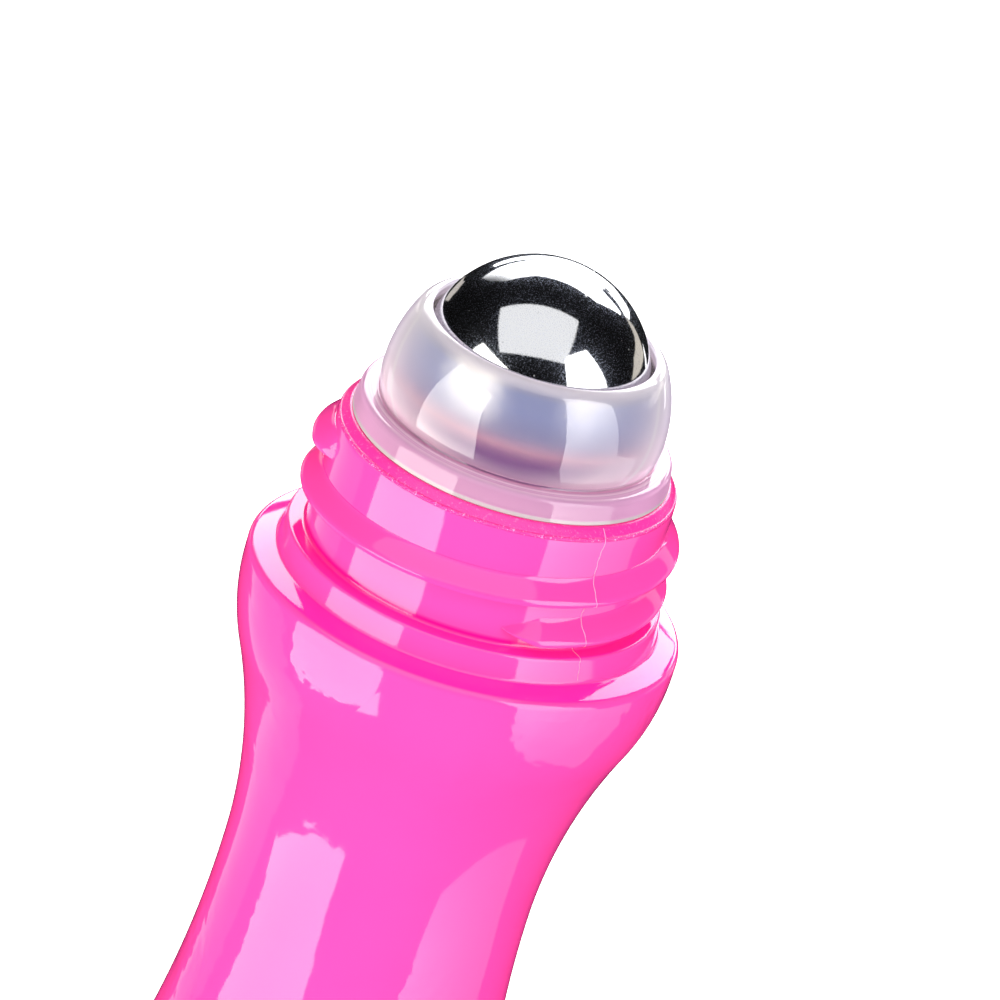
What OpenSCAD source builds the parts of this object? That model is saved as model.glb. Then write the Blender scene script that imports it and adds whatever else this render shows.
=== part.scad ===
// Roll-on bottle: a waisted blow-moulded bottle, a snap-in ball housing and a steel ball.
// Origin: centre of the base, on the surface it stands on. +Z runs up the bottle's axis.

/* [Ball] */
// Radius of the steel ball
ball_r = 9; // [7:0.1:12]
// Gap between the ball and its socket all round
socket_gap = 0.35; // [0.2:0.05:0.6]
// Running gap between the ball and the seat pads below it
seat_gap = 0.05; // [0.02:0.01:0.1]

/* [Ball housing] */
// Wall of the dome round the ball's middle
dome_wall = 1.9; // [1.2:0.1:3]
// How far the dome's middle lies below the ball's centre
dome_drop = 2.49; // [1.5:0.05:3.5]
// Height of the ball's centre above the neck's rim
ball_rise = 6.34; // [5.5:0.1:8]
// Height of the retaining rim above the ball's centre
lip_rise = 3.46; // [2.6:0.1:4]
// Radius that rounds the rim's outer edge
rim_round = 1.4; // [0.8:0.1:1.6]
// How far the dome tucks in where it meets the flange
dome_tuck = 0.3; // [0.15:0.05:0.5]
// Height of the flange on the neck's rim
flange_h = 1.95; // [1.4:0.05:2.4]
// Radius of the flange's upper edge
flange_edge = 0.6; // [0.2:0.1:0.8]
// Draft of the flange's wall, from bottom to top
flange_draft = 0.19; // [0:0.01:0.3]
// How far the flange stays inside the neck's rim
flange_setback = 0.11; // [0.05:0.01:0.3]
// Thickness of the cup under the ball
cup_wall = 1.2; // [0.8:0.1:1.8]
// Radius of the feed hole in the cup's floor
feed_r = 4.5; // [3:0.1:5]
// Number of seat pads, with a feed channel between each two
pads = 6; // [3:1:8]
// Width of a feed channel
channel_w = 1.6; // [1:0.1:2.2]
// Angle below the ball's centre at which the seat pads carry it, from straight down
seat_angle = 42; // [38:1:50]
// Width of the seat pads, as an angle
seat_spread = 8; // [5:1:10]

/* [Plug] */
// Length of the plug in the neck
plug_l = 7.5; // [6:0.1:9]
// Wall of the plug's skirt
plug_wall = 1.2; // [0.8:0.1:1.6]
// Gap between the plug and the neck's bore, and round each bead in its groove
plug_gap = 0.05; // [0.02:0.01:0.1]
// Height of the sealing beads
bead_h = 0.25; // [0.15:0.05:0.4]
// Width of a bead at its root
bead_w = 1.2; // [0.8:0.1:1.5]
// Width of a bead's crest
bead_crest_w = 0.4; // [0.2:0.1:0.6]
// Depth of the first bead below the neck's rim
bead_drop = 2.6; // [2:0.1:3]
// Distance from one bead to the next
bead_pitch = 2.4; // [2:0.1:2.8]
// Number of sealing beads
beads = 2; // [1:1:2]
// Length of the lead-in taper at the plug's end
plug_lead_l = 0.9; // [0.4:0.1:1.2]
// How far that taper draws in
plug_lead_w = 0.5; // [0.2:0.1:0.7]

/* [Neck] */
// How much wider the neck's bore is than the dome
bore_margin = 0.7; // [0.5:0.1:1.2]
// Wall of the neck
neck_wall = 1.6; // [1.3:0.1:2.2]
// Height of the neck above the step
neck_h = 10.35; // [9:0.05:12]
// Draft of the neck's outside
neck_draft = 0.06; // [0:0.01:0.15]
// Width of the bevel on the rim's outer edge
rim_bevel_w = 0.75; // [0.4:0.05:0.9]
// Height of that bevel
rim_bevel_h = 0.8; // [0.4:0.05:1]
// Lead-in bevel at the mouth of the bore
mouth_bevel = 0.3; // [0.1:0.05:0.35]

/* [Cap thread] */
// Rise of the thread in one turn
thread_pitch = 3.5; // [3:0.1:4]
// Height of the thread's crest above the neck
thread_h = 1.35; // [0.9:0.05:1.4]
// Width of the thread at its root
thread_w = 2.6; // [2:0.1:2.8]
// Width of the thread's crest
thread_crest_w = 0.8; // [0.4:0.1:1.2]
// Height of the crest's start above the step
thread_rise = 1.35; // [1.3:0.05:2]
// Plain band between the thread's end and the rim's bevel
thread_margin = 0.5; // [0.3:0.05:1.5]
// Direction in which the thread starts, seen from above
thread_start = 281; // [0:1:359]
// Angle that its pointed start takes, and its end
thread_lead = 24; // [12:1:40]

/* [Shoulder] */
// Width of the step that the cap stands on
step_w = 1.41; // [1:0.05:2.5]
// Height of the step
step_h = 2.1; // [1.5:0.1:3]
// Radius of the step's upper edge
step_edge = 0.3; // [0.1:0.05:0.5]
// Flare of the step's wall, from top to bottom
step_flare = 0.24; // [0:0.01:0.4]
// Radius of the fillet at the foot of the step
step_fillet = 0.3; // [0.1:0.05:0.5]
// Width of the shoulder outside the step
shoulder_w = 2.1; // [1.6:0.1:3]
// Fall of the shoulder's top from the step to its edge
shoulder_fall = 0.45; // [0.2:0.05:0.8]
// Radius of the shoulder's edge
shoulder_edge = 0.7; // [0.4:0.1:1]
// Height of the straight band under the shoulder's edge
shoulder_band = 0.9; // [0.5:0.1:2]

/* [Bottle body] */
// Height of the body, from its base to the top of the step
body_h = 82; // [74:1:100]
// Radius at the waist
waist_r = 12.4; // [10.5:0.1:14]
// Depth of the waist below the top of the step
waist_drop = 28.4; // [24:0.1:34]
// Share of the curve from shoulder to waist that bulges outward
shoulder_share = 0.275; // [0.2:0.005:0.5]
// Largest radius near the foot
foot_r = 16.8; // [15:0.1:19]
// Height of that level above the base
foot_rise = 14; // [10:0.5:18]
// Share of the curve from waist to foot that bulges outward
foot_share = 0.44; // [0.3:0.01:0.6]
// Radius of the heel round the base
heel_round = 2.5; // [1.5:0.1:3.5]
// Width of the flat ring that the bottle stands on
stand_w = 1.4; // [0.8:0.1:2.5]
// Depth of the hollow under the base
push_up = 2.2; // [1:0.1:3]
// Wall of the body
wall = 1.15; // [0.8:0.05:1.6]
// Thickness of the base
base_t = 1.5; // [1:0.1:2.2]

/* [Hidden] */
$fn = 144;

// Steps of a long and of a short curve
long_steps = 16;
short_steps = 5;
// How far a cut runs past the surface it opens
overrun = 0.5;
// Step of the thread's sweep, how deep it is rooted in the neck, and how thin its ends are
thread_step = 12;
thread_root = 0.4;
thread_tip = 0.12;

// Radii, from the ball outwards
socket_r = ball_r + socket_gap;
dome_r = socket_r + dome_wall;
bore_r = dome_r + bore_margin;
neck_r = bore_r + neck_wall;
rim_r = neck_r - neck_draft;
land_r = rim_r - rim_bevel_w;
step_r = neck_r + step_w;
step_foot_r = step_r + step_flare;
shoulder_r = step_foot_r + shoulder_w;
flange_r = land_r - flange_setback;
plug_r = bore_r - plug_gap;
skirt_r = plug_r - plug_wall;
cup_r = socket_r + cup_wall;

// Levels, from the base upwards
step_foot_z = body_h - step_h;
ledge_z = step_foot_z - shoulder_fall;
shoulder_z = ledge_z - shoulder_edge - shoulder_band;
waist_z = body_h - waist_drop;
rim_z = body_h + neck_h;
ceiling_z = ledge_z - wall;
flange_z = rim_z + flange_h;
ball_z = rim_z + ball_rise;
dome_z = ball_z - dome_drop;
lip_z = ball_z + lip_rise;
plug_z = rim_z - plug_l;
pocket_z = rim_z + flange_h - cup_wall;

// Two arcs that meet in one tangent take the body from a wide level to a narrow one.
// The sum of their radii follows from the drop and from the change of radius.
function blend_sum(rise, dr) = (rise * rise + dr * dr) / (2 * dr);
function blend_angle(rise, dr) = asin(rise / blend_sum(rise, dr));

function arc_points(centre, r, start, end, steps) =
    [for (i = [0 : steps]) let (a = start + (end - start) * i / steps) centre + r * [cos(a), sin(a)]];

// Curve from the shoulder to the waist
shoulder_rise = shoulder_z - waist_z;
shoulder_dr = shoulder_r - waist_r;
shoulder_turn = blend_angle(shoulder_rise, shoulder_dr);
shoulder_bulge = blend_sum(shoulder_rise, shoulder_dr) * shoulder_share;
shoulder_hollow = blend_sum(shoulder_rise, shoulder_dr) - shoulder_bulge;

// Curve from the waist to the foot
foot_drop = waist_z - foot_rise;
foot_dr = foot_r - waist_r;
foot_turn = blend_angle(foot_drop, foot_dr);
foot_bulge = blend_sum(foot_drop, foot_dr) * foot_share;
foot_hollow = blend_sum(foot_drop, foot_dr) - foot_bulge;

// Side of the body from the shoulder's widest level to its floor, drawn inset from the outside.
// A level below the shoulder's, where a thick wall puts the ceiling, starts the first arc late.
function side(inset, floor_z, top_z) =
    let (
        late = asin(min(0, top_z - shoulder_z) / (shoulder_bulge - inset)),
        heel = max(heel_round - inset, overrun),
        bulge = foot_bulge - inset,
        sink = foot_rise - floor_z - heel,
        heel_turn = asin(sink / (bulge - heel)),
        heel_r = foot_r - foot_bulge + (bulge - heel) * cos(heel_turn)
    )
    concat(
        arc_points([shoulder_r - shoulder_bulge, shoulder_z], shoulder_bulge - inset,
            late, -shoulder_turn, long_steps),
        arc_points([waist_r + shoulder_hollow, waist_z], shoulder_hollow + inset,
            180 - shoulder_turn, 180, long_steps),
        arc_points([waist_r + foot_hollow, waist_z], foot_hollow + inset,
            180, 180 + foot_turn, long_steps),
        arc_points([foot_r - foot_bulge, foot_rise], bulge, foot_turn, -heel_turn, long_steps),
        arc_points([heel_r, floor_z + heel], heel, -heel_turn, -90, short_steps)
    );

// Shallow dome under or over the base, from the radius where it starts to the axis
function base_dome(start_r, floor_z) =
    let (
        r = (start_r * start_r + push_up * push_up) / (2 * push_up),
        open = asin(start_r / r)
    )
    arc_points([0, floor_z + push_up - r], r, 90 - open, 90, short_steps);

// The thread's section: steep below the crest and sloping above it, rooted in the neck's wall.
// Each point is its height above the neck and its level from the crest's middle.
thread_section = [
    [-thread_root, -0.46 * thread_w],
    [0.85 * thread_h, -0.75 * thread_crest_w],
    [thread_h, -0.3 * thread_crest_w],
    [thread_h, 0.3 * thread_crest_w],
    [0.5 * thread_h, 0.34 * thread_w],
    [-thread_root, 0.62 * thread_w]
];
thread_span = neck_h - rim_bevel_h - thread_margin - 0.6 * thread_w - thread_rise;
thread_steps = round(360 * thread_span / thread_pitch / thread_step);

// The section at one step of the sweep, drawn in towards its root near both ends
function thread_ring(i) =
    let (
        a = thread_start + i * thread_step,
        z = body_h + thread_rise + thread_pitch * i * thread_step / 360,
        near = min(i, thread_steps - i) * thread_step / thread_lead,
        grown = thread_tip + (1 - thread_tip) * min(1, near)
    )
    [
        for (p = thread_section)
            let (r = neck_r - thread_root + (p[0] + thread_root) * grown)
            [r * cos(a), r * sin(a), z + p[1] * sqrt(grown)]
    ];

outer_side = side(0, 0, shoulder_z);
stand_r = outer_side[len(outer_side) - 1][0] - stand_w;

module bottle_outside() {
    rotate_extrude()
        polygon(concat(
            [[0, rim_z], [land_r, rim_z], [rim_r, rim_z - rim_bevel_h], [neck_r, body_h]],
            arc_points([step_r - step_edge, body_h - step_edge], step_edge, 90, 0, short_steps),
            arc_points([step_foot_r + step_fillet, step_foot_z + step_fillet], step_fillet,
                180, 270, short_steps),
            arc_points([shoulder_r - shoulder_edge, ledge_z - shoulder_edge], shoulder_edge,
                80, 0, short_steps),
            outer_side,
            base_dome(stand_r, 0)
        ));
}

// Right-handed thread for the cap: its section swept up and round the neck
module cap_thread() {
    n = len(thread_section);
    polyhedron(
        points = [for (i = [0 : thread_steps]) each thread_ring(i)],
        faces = concat(
            [[for (j = [n - 1 : -1 : 0]) j]],
            [
                for (i = [0 : thread_steps - 1], j = [0 : n - 1])
                    let (a = i * n + j, b = i * n + (j + 1) % n)
                    each [[a, b, a + n], [b, b + n, a + n]]
            ],
            [[for (j = [0 : n - 1]) thread_steps * n + j]]
        )
    );
}

module bottle_inside() {
    inner_side = side(wall, base_t, ceiling_z);
    floor_r = inner_side[len(inner_side) - 1][0];
    rotate_extrude()
        polygon(concat(
            [[0, ceiling_z], [inner_side[0][0], ceiling_z]],
            inner_side,
            base_dome(min(stand_r, floor_r), base_t)
        ));
    translate([0, 0, ceiling_z - overrun])
        cylinder(r = bore_r, h = rim_z - ceiling_z + 2 * overrun);
    translate([0, 0, rim_z - mouth_bevel])
        cylinder(r1 = bore_r, r2 = bore_r + mouth_bevel + overrun, h = mouth_bevel + overrun);
}

// One sealing bead on the plug, or its groove in the neck when it is grown by the gap
module bead_ring(grow) {
    root = bead_w / 2 + grow;
    crest = bead_crest_w / 2 + grow;
    rotate_extrude()
        polygon([
            [skirt_r + plug_wall / 2, -root],
            [plug_r, -root],
            [plug_r + bead_h + grow, -crest],
            [plug_r + bead_h + grow, crest],
            [plug_r, root],
            [skirt_r + plug_wall / 2, root]
        ]);
}

module bead_rings(grow) {
    for (i = [0 : beads - 1])
        translate([0, 0, rim_z - bead_drop - i * bead_pitch])
            bead_ring(grow);
}

module bottle() {
    color([1, 0.33, 0.8])
        difference() {
            union() {
                bottle_outside();
                cap_thread();
            }
            bottle_inside();
            bead_rings(plug_gap);
        }
}

// Outside of the housing: plug, flange and dome with its rounded rim, solid to the axis
module housing_outside() {
    tuck_h = dome_z - flange_z;
    tuck_r = (tuck_h * tuck_h + dome_tuck * dome_tuck) / (2 * dome_tuck);
    rim_centre_z = lip_z - rim_round;
    rim_turn = asin((rim_centre_z - dome_z) / (dome_r - rim_round));
    rim_centre_r = (dome_r - rim_round) * cos(rim_turn);
    flange_top_r = flange_r - flange_draft;
    rotate_extrude()
        polygon(concat(
            [
                [0, plug_z],
                [plug_r - plug_lead_w, plug_z],
                [plug_r, plug_z + plug_lead_l],
                [plug_r, rim_z],
                [flange_r, rim_z]
            ],
            arc_points([flange_top_r - flange_edge, flange_z - flange_edge], flange_edge,
                0, 90, short_steps),
            arc_points([dome_r - tuck_r, dome_z], tuck_r, -asin(tuck_h / tuck_r), 0, short_steps),
            arc_points([0, dome_z], dome_r, 0, rim_turn, long_steps),
            arc_points([rim_centre_r, rim_centre_z], rim_round, rim_turn, 90, short_steps),
            [[0, lip_z]]
        ));
}

// Space between the plug's skirt and the cup, open at the plug's end
module plug_pocket() {
    difference() {
        translate([0, 0, plug_z - overrun])
            cylinder(r = skirt_r, h = pocket_z - plug_z + overrun);
        translate([0, 0, ball_z])
            sphere(r = cup_r);
    }
}

// Ring of pads that carries the ball, cut through by the feed channels
module seat_pads() {
    low = seat_angle - seat_spread / 2;
    high = seat_angle + seat_spread / 2;
    inner = ball_r - socket_gap;
    outer = socket_r + cup_wall / 2;
    translate([0, 0, ball_z])
        difference() {
            rotate_extrude()
                polygon([
                    inner * [sin(low), -cos(low)],
                    outer * [sin(low), -cos(low)],
                    outer * [sin(high), -cos(high)],
                    inner * [sin(high), -cos(high)]
                ]);
            sphere(r = ball_r + seat_gap);
            difference() {
                for (i = [0 : pads - 1])
                    rotate([0, 0, i * 360 / pads])
                        translate([0, -channel_w / 2, -socket_r])
                            cube([socket_r, channel_w, socket_r]);
                difference() {
                    sphere(r = cup_r);
                    sphere(r = socket_r);
                }
            }
        }
}

module ball_housing() {
    color([0.85, 0.8, 0.9])
        union() {
            difference() {
                housing_outside();
                plug_pocket();
                translate([0, 0, ball_z])
                    sphere(r = socket_r);
                translate([0, 0, plug_z - overrun])
                    cylinder(r = feed_r, h = ball_z - plug_z);
            }
            bead_rings(0);
            seat_pads();
        }
}

module ball() {
    color("silver")
        translate([0, 0, ball_z])
            sphere(r = ball_r);
}

bottle();
ball_housing();
ball();
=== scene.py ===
import math

import bmesh
import bpy
from bpy.props import FloatProperty, FloatVectorProperty, IntProperty, PointerProperty
from mathutils import Matrix, Vector
from mathutils.bvhtree import BVHTree


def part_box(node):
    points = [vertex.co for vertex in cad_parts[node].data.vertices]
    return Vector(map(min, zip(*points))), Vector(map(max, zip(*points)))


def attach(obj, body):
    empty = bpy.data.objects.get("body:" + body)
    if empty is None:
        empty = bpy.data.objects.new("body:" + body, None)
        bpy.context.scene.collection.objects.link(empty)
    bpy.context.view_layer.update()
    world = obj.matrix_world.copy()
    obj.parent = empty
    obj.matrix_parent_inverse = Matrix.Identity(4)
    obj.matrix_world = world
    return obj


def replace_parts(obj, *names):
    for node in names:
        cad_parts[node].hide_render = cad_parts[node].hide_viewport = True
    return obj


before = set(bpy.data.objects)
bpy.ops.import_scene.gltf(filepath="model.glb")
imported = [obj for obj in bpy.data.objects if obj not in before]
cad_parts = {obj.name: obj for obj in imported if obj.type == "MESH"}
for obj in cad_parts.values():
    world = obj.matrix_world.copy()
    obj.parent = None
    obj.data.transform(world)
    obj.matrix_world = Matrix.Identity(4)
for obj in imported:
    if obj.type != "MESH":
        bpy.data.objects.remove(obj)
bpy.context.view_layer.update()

bl_info = {
    "name": "Roll-on bottle",
    "version": (1, 0, 0),
    "blender": (4, 5, 0),
    "location": "3D View > Sidebar > Roll-on bottle",
    "description": "Builds a waisted roll-on bottle with its ball housing, steel ball and studio",
    "category": "Object",
}

MM = 0.001
TURN_STEPS = 256
SHARP_ANGLE = math.radians(24)
WELD = 1e-6
BALL_LOW, BALL_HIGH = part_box("ball")
BALL_CENTRE = (BALL_LOW + BALL_HIGH) / 2
BALL_RADIUS = (BALL_HIGH.z - BALL_LOW.z) / 2


# ---------------------------------------------------------------- values a user would change

def length(name, description, mm):
    """A length property, given in millimetres and kept in metres."""
    return FloatProperty(name=name, description=description, default=mm * MM, min=0, precision=5, unit="LENGTH")


def rotation(name, description, degrees):
    """An angle property, given in degrees and kept in radians."""
    return FloatProperty(name=name, description=description, default=math.radians(degrees), subtype="ANGLE",
                         unit="ROTATION")


def share(name, description, default):
    """A property from 0 to 1."""
    return FloatProperty(name=name, description=description, default=default, min=0, max=1, subtype="FACTOR")


def colour(name, description, default):
    """A colour property in linear red, green and blue."""
    return FloatVectorProperty(name=name, description=description, default=default, min=0, max=1, subtype="COLOR")


class BodyValues(bpy.types.PropertyGroup):
    height: length("Body height", "From the base to the top of the cap's step", 82)
    waist_radius: length("Waist radius", "Smallest radius of the body", 12.4)
    waist_drop: length("Waist depth", "Depth of the waist below the top of the step", 28.4)
    shoulder_share: share("Shoulder share", "Share of the shoulder's curve that bulges outward", 0.275)
    foot_radius: length("Foot radius", "Largest radius near the foot", 16.8)
    foot_rise: length("Foot level", "Height of the widest level above the base", 14)
    foot_share: share("Foot share", "Share of the foot's curve that bulges outward", 0.44)
    heel_round: length("Heel radius", "Radius of the heel round the base", 2.5)
    stand_width: length("Stand width", "Width of the flat ring that the bottle stands on", 1.4)
    push_up: length("Push-up", "Depth of the hollow under the base", 2.2)
    wall: length("Wall", "Wall of the body", 1.15)
    base_wall: length("Base wall", "Thickness of the base", 1.5)
    shoulder_radius: length("Shoulder radius", "Largest radius of the shoulder", 17.3)
    shoulder_fall: length("Shoulder fall", "Fall of the shoulder's top from the step to its edge", 0.45)
    shoulder_edge: length("Shoulder edge", "Radius of the shoulder's edge", 0.7)
    shoulder_band: length("Shoulder band", "Height of the straight band under the shoulder's edge", 0.9)
    tint: colour("Plastic colour", "Colour of the pink plastic", (0.965, 0.060, 0.343))


class NeckValues(bpy.types.PropertyGroup):
    radius: length("Neck radius", "Outside of the neck at its foot", 13.55)
    rim_radius: length("Rim radius", "Outside of the neck under the rim's bevel", 13.49)
    land_radius: length("Land radius", "Outer edge of the rim's flat land", 12.74)
    bore_radius: length("Bore radius", "Bore of the neck, which the plug seals", 11.95)
    height: length("Neck height", "Height of the neck above the step", 10.35)
    bevel_height: length("Bevel height", "Height of the bevel on the rim's outer edge", 0.8)
    mouth_bevel: length("Mouth bevel", "Lead-in bevel at the mouth of the bore", 0.3)
    foot_fillet: length("Foot fillet", "Fillet between the neck and the step", 0.3)
    step_radius: length("Step radius", "Upper radius of the step that the cap stands on", 14.96)
    step_foot_radius: length("Step foot radius", "Lower radius of that step", 15.2)
    step_height: length("Step height", "Height of that step", 2.1)
    step_edge: length("Step edge", "Radius of the step's upper edge", 0.3)
    step_fillet: length("Step fillet", "Fillet at the foot of the step", 0.3)


class ThreadValues(bpy.types.PropertyGroup):
    pitch: length("Pitch", "Rise of the thread in one turn", 3.5)
    ridge_height: length("Ridge height", "Height of the thread's crest above the neck", 1.35)
    start_rise: length("Start level", "Height of the crest's start above the step", 1.38)
    start_angle: rotation("Start angle", "Where the thread begins, seen from above", 284)
    sweep: rotation("Sweep", "How far the thread runs round the neck", 638)
    run_in: rotation("Run-in", "Length of the thread's pointed start", 13)
    run_out: rotation("Run-out", "Length of the thread's rounded end", 12)
    line_angle: rotation("Parting line", "Where the mould's parting line runs, seen from above", 311.8)
    line_width: length("Line width", "Width of the flash on the parting line", 0.11)
    line_height: length("Line height", "Height of the flash on the parting line", 0.06)


class HousingValues(bpy.types.PropertyGroup):
    socket_radius: length("Socket radius", "Inside of the dome round the ball", 9.35)
    dome_radius: length("Dome radius", "Outside of the dome at its middle", 11.25)
    dome_drop: length("Dome drop", "How far the dome's middle lies below the ball's centre", 2.49)
    lip_rise: length("Lip rise", "Height of the retaining rim above the ball's centre", 3.46)
    rim_round: length("Rim round", "Radius that rounds the rim's outer edge", 1.4)
    lip_round: length("Lip round", "Radius of the rim's inner lip", 0.25)
    dome_tuck: length("Dome tuck", "How far the dome tucks in where it meets the flange", 0.3)
    flange_radius: length("Flange radius", "Lower radius of the flange on the neck's rim", 12.63)
    flange_height: length("Flange height", "Height of the flange", 1.95)
    flange_draft: length("Flange draft", "Draft of the flange's wall", 0.19)
    flange_edge: length("Flange edge", "Radius of the flange's upper edge", 0.6)
    plug_radius: length("Plug radius", "Outside of the plug in the neck", 11.9)
    skirt_radius: length("Skirt radius", "Inside of the plug's skirt", 10.7)
    plug_length: length("Plug length", "Length of the plug below the rim", 7.5)
    cup_radius: length("Cup radius", "Outside of the cup under the ball", 10.55)
    feed_radius: length("Feed radius", "Radius of the feed hole in the cup's floor", 4.5)
    pads: IntProperty(name="Seat pads", description="Number of pads that carry the ball", default=6, min=3, max=8)
    pad_gap: length("Seat gap", "Running gap between the ball and the seat pads", 0.05)
    cup_line: length("Cup line", "How far below the ball's centre the milkier cup begins", 2.5)
    channel: length("Feed channel", "Width of the channel between two seat pads", 1.6)
    pad_low: rotation("Pad start", "Inner edge of the pads, from straight below the ball", 38)
    pad_high: rotation("Pad end", "Outer edge of the pads, from straight below the ball", 46)
    glow: colour("Glow", "Colour of the milky plastic in light from behind", (0.90, 0.78, 0.90))
    # Painted light: the pink that the neck's light gives the flange, painted into its colour.
    cast: colour("Flange colour", "Colour that the pink neck gives the flange", (0.73, 0.36, 0.60))
    milk: share("Milkiness", "Share of the light that the wall scatters, seen straight on", 0.40)
    haze: share("Haze", "How far the wall blurs what lies behind it", 0.50)


class BallValues(bpy.types.PropertyGroup):
    tint: colour("Steel colour", "Colour of the polished steel", (0.62, 0.625, 0.64))
    grain_tint: colour("Grain colour", "Colour of the grain in the polish", (0.52, 0.56, 0.70))
    polish: share("Roughness", "Roughness of the polished steel", 0.040)


class StudioValues(bpy.types.PropertyGroup):
    softbox: FloatProperty(name="Softbox", description="Strength of the two large softboxes", default=6.0, min=0)
    ambient: FloatProperty(name="Ambient", default=0.48, min=0,
                           description="Strength of the paper's light on matte surfaces, which comes most from below")
    reach: length("Studio reach", "Distance from the object to the lights", 1100)
    lens: FloatProperty(name="Lens", description="Focal length of the camera in millimetres", default=312.84, min=1)
    camera_back: length("Camera distance", "How far the camera stands in front of the object", 604.8)
    camera_height: length("Camera height", "Height of the camera above the floor", 371.3)
    camera_pitch: rotation("Pitch", "How far the camera looks down", 25.14)
    camera_roll: rotation("Roll", "Roll of the camera", 17.39)
    camera_yaw: rotation("Yaw", "Turn of the camera to its right", 0.047)


# ---------------------------------------------------------------- mesh tools

class Turning:
    """A profile in the XZ plane that is drawn from point to point and then spun round the Z axis."""

    def __init__(self, r, z):
        self.bm = bmesh.new()
        self.tip = self.bm.verts.new((r, 0, z))

    def line(self, r, z, steps=1):
        """Straight on to a point, in equal steps."""
        start, end = self.tip.co.copy(), Vector((r, 0, z))
        for i in range(1, steps + 1):
            made = bmesh.ops.extrude_vert_indiv(self.bm, verts=[self.tip])
            self.tip = made["verts"][0]
            self.tip.co = start.lerp(end, i / steps)
        return self

    def arc(self, r, z, degrees, steps):
        """Round a centre, counterclockwise for positive degrees."""
        made = bmesh.ops.spin(self.bm, geom=[self.tip], cent=(r, 0, z), axis=(0, -1, 0),
                              angle=math.radians(degrees), steps=steps, use_merge=False)
        self.tip = next(v for v in made["geom_last"] if isinstance(v, bmesh.types.BMVert))
        return self

    def sweep(self, start, angle, steps, climb=0.0):
        """Part of a turn from a start angle, as a bmesh solid with closed ends. It may climb as it turns."""
        outline = self.bm.verts[:]
        bmesh.ops.rotate(self.bm, cent=(0, 0, 0), matrix=Matrix.Rotation(start, 3, "Z"), verts=outline)
        bmesh.ops.spin(self.bm, geom=[self.bm.faces.new(outline)], cent=(0, 0, 0), axis=(0, 0, 1), angle=angle,
                       steps=steps, dvec=(0, 0, climb / steps), use_merge=False)
        bmesh.ops.recalc_face_normals(self.bm, faces=self.bm.faces)
        return self.bm

    def turn(self, closed=False):
        """The solid of revolution, as a bmesh. A closed profile joins its end to its start."""
        if closed:
            self.bm.verts.ensure_lookup_table()
            self.bm.edges.new((self.tip, self.bm.verts[0]))
        bmesh.ops.spin(self.bm, geom=self.bm.verts[:] + self.bm.edges[:], cent=(0, 0, 0), axis=(0, 0, 1),
                       angle=math.tau, steps=TURN_STEPS, use_merge=True)
        tidy(self.bm)
        return self.bm


def tidy(bm):
    """Welds doubled points and turns every face outward."""
    bmesh.ops.remove_doubles(bm, verts=bm.verts, dist=WELD)
    bmesh.ops.recalc_face_normals(bm, faces=bm.faces)
    if bm.calc_volume(signed=True) < 0:
        bmesh.ops.reverse_faces(bm, faces=bm.faces)


def new_object(name, bm, material):
    """Links a bmesh to the scene as an object with one material."""
    mesh = bpy.data.meshes.new(name)
    bm.to_mesh(mesh)
    bm.free()
    mesh.materials.append(material)
    made = bpy.data.objects.new(name, mesh)
    bpy.context.scene.collection.objects.link(made)
    return made


def add_piece(name, bm, material, body):
    """Makes a bmesh a smooth-shaded object that rides on a body, with its sharp edges kept sharp."""
    piece = new_object(name, bm, material)
    piece.data.shade_smooth()
    piece.data.set_sharp_from_angle(angle=SHARP_ANGLE)
    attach(piece, body)
    return piece


def arc_radius(half_chord, height):
    """Radius of an arc that rises to a height over half of its chord."""
    return (half_chord ** 2 + height ** 2) / (2 * height)


def turn_of(reach, radius):
    """How many degrees an arc turns while it goes this far the way that it starts."""
    return math.degrees(math.asin(reach / radius))


def blend_of(rise, change, bulge_share):
    """Two arcs in one tangent between a wide and a narrow level: the turn of each and their two radii."""
    total = arc_radius(rise, change)
    return turn_of(rise, total), total * bulge_share, total * (1 - bulge_share)


# ---------------------------------------------------------------- shader tools

class Wire:
    """A shader socket. An expression on it adds the Math nodes it needs."""

    def __init__(self, graph, socket):
        self.graph, self.socket = graph, socket

    def math(self, operation, *values):
        return self.graph.node("ShaderNodeMath", {"operation": operation}, dict(enumerate(values)))

    def __add__(self, other): return self.math("ADD", self, other)
    def __radd__(self, other): return self.math("ADD", other, self)
    def __sub__(self, other): return self.math("SUBTRACT", self, other)
    def __rsub__(self, other): return self.math("SUBTRACT", other, self)
    def __mul__(self, other): return self.math("MULTIPLY", self, other)
    def __rmul__(self, other): return self.math("MULTIPLY", other, self)
    def __truediv__(self, other): return self.math("DIVIDE", self, other)

    def clamped(self):
        return self.graph.node("ShaderNodeMath", {"operation": "ADD", "use_clamp": True}, {0: self, 1: 0.0})


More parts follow.
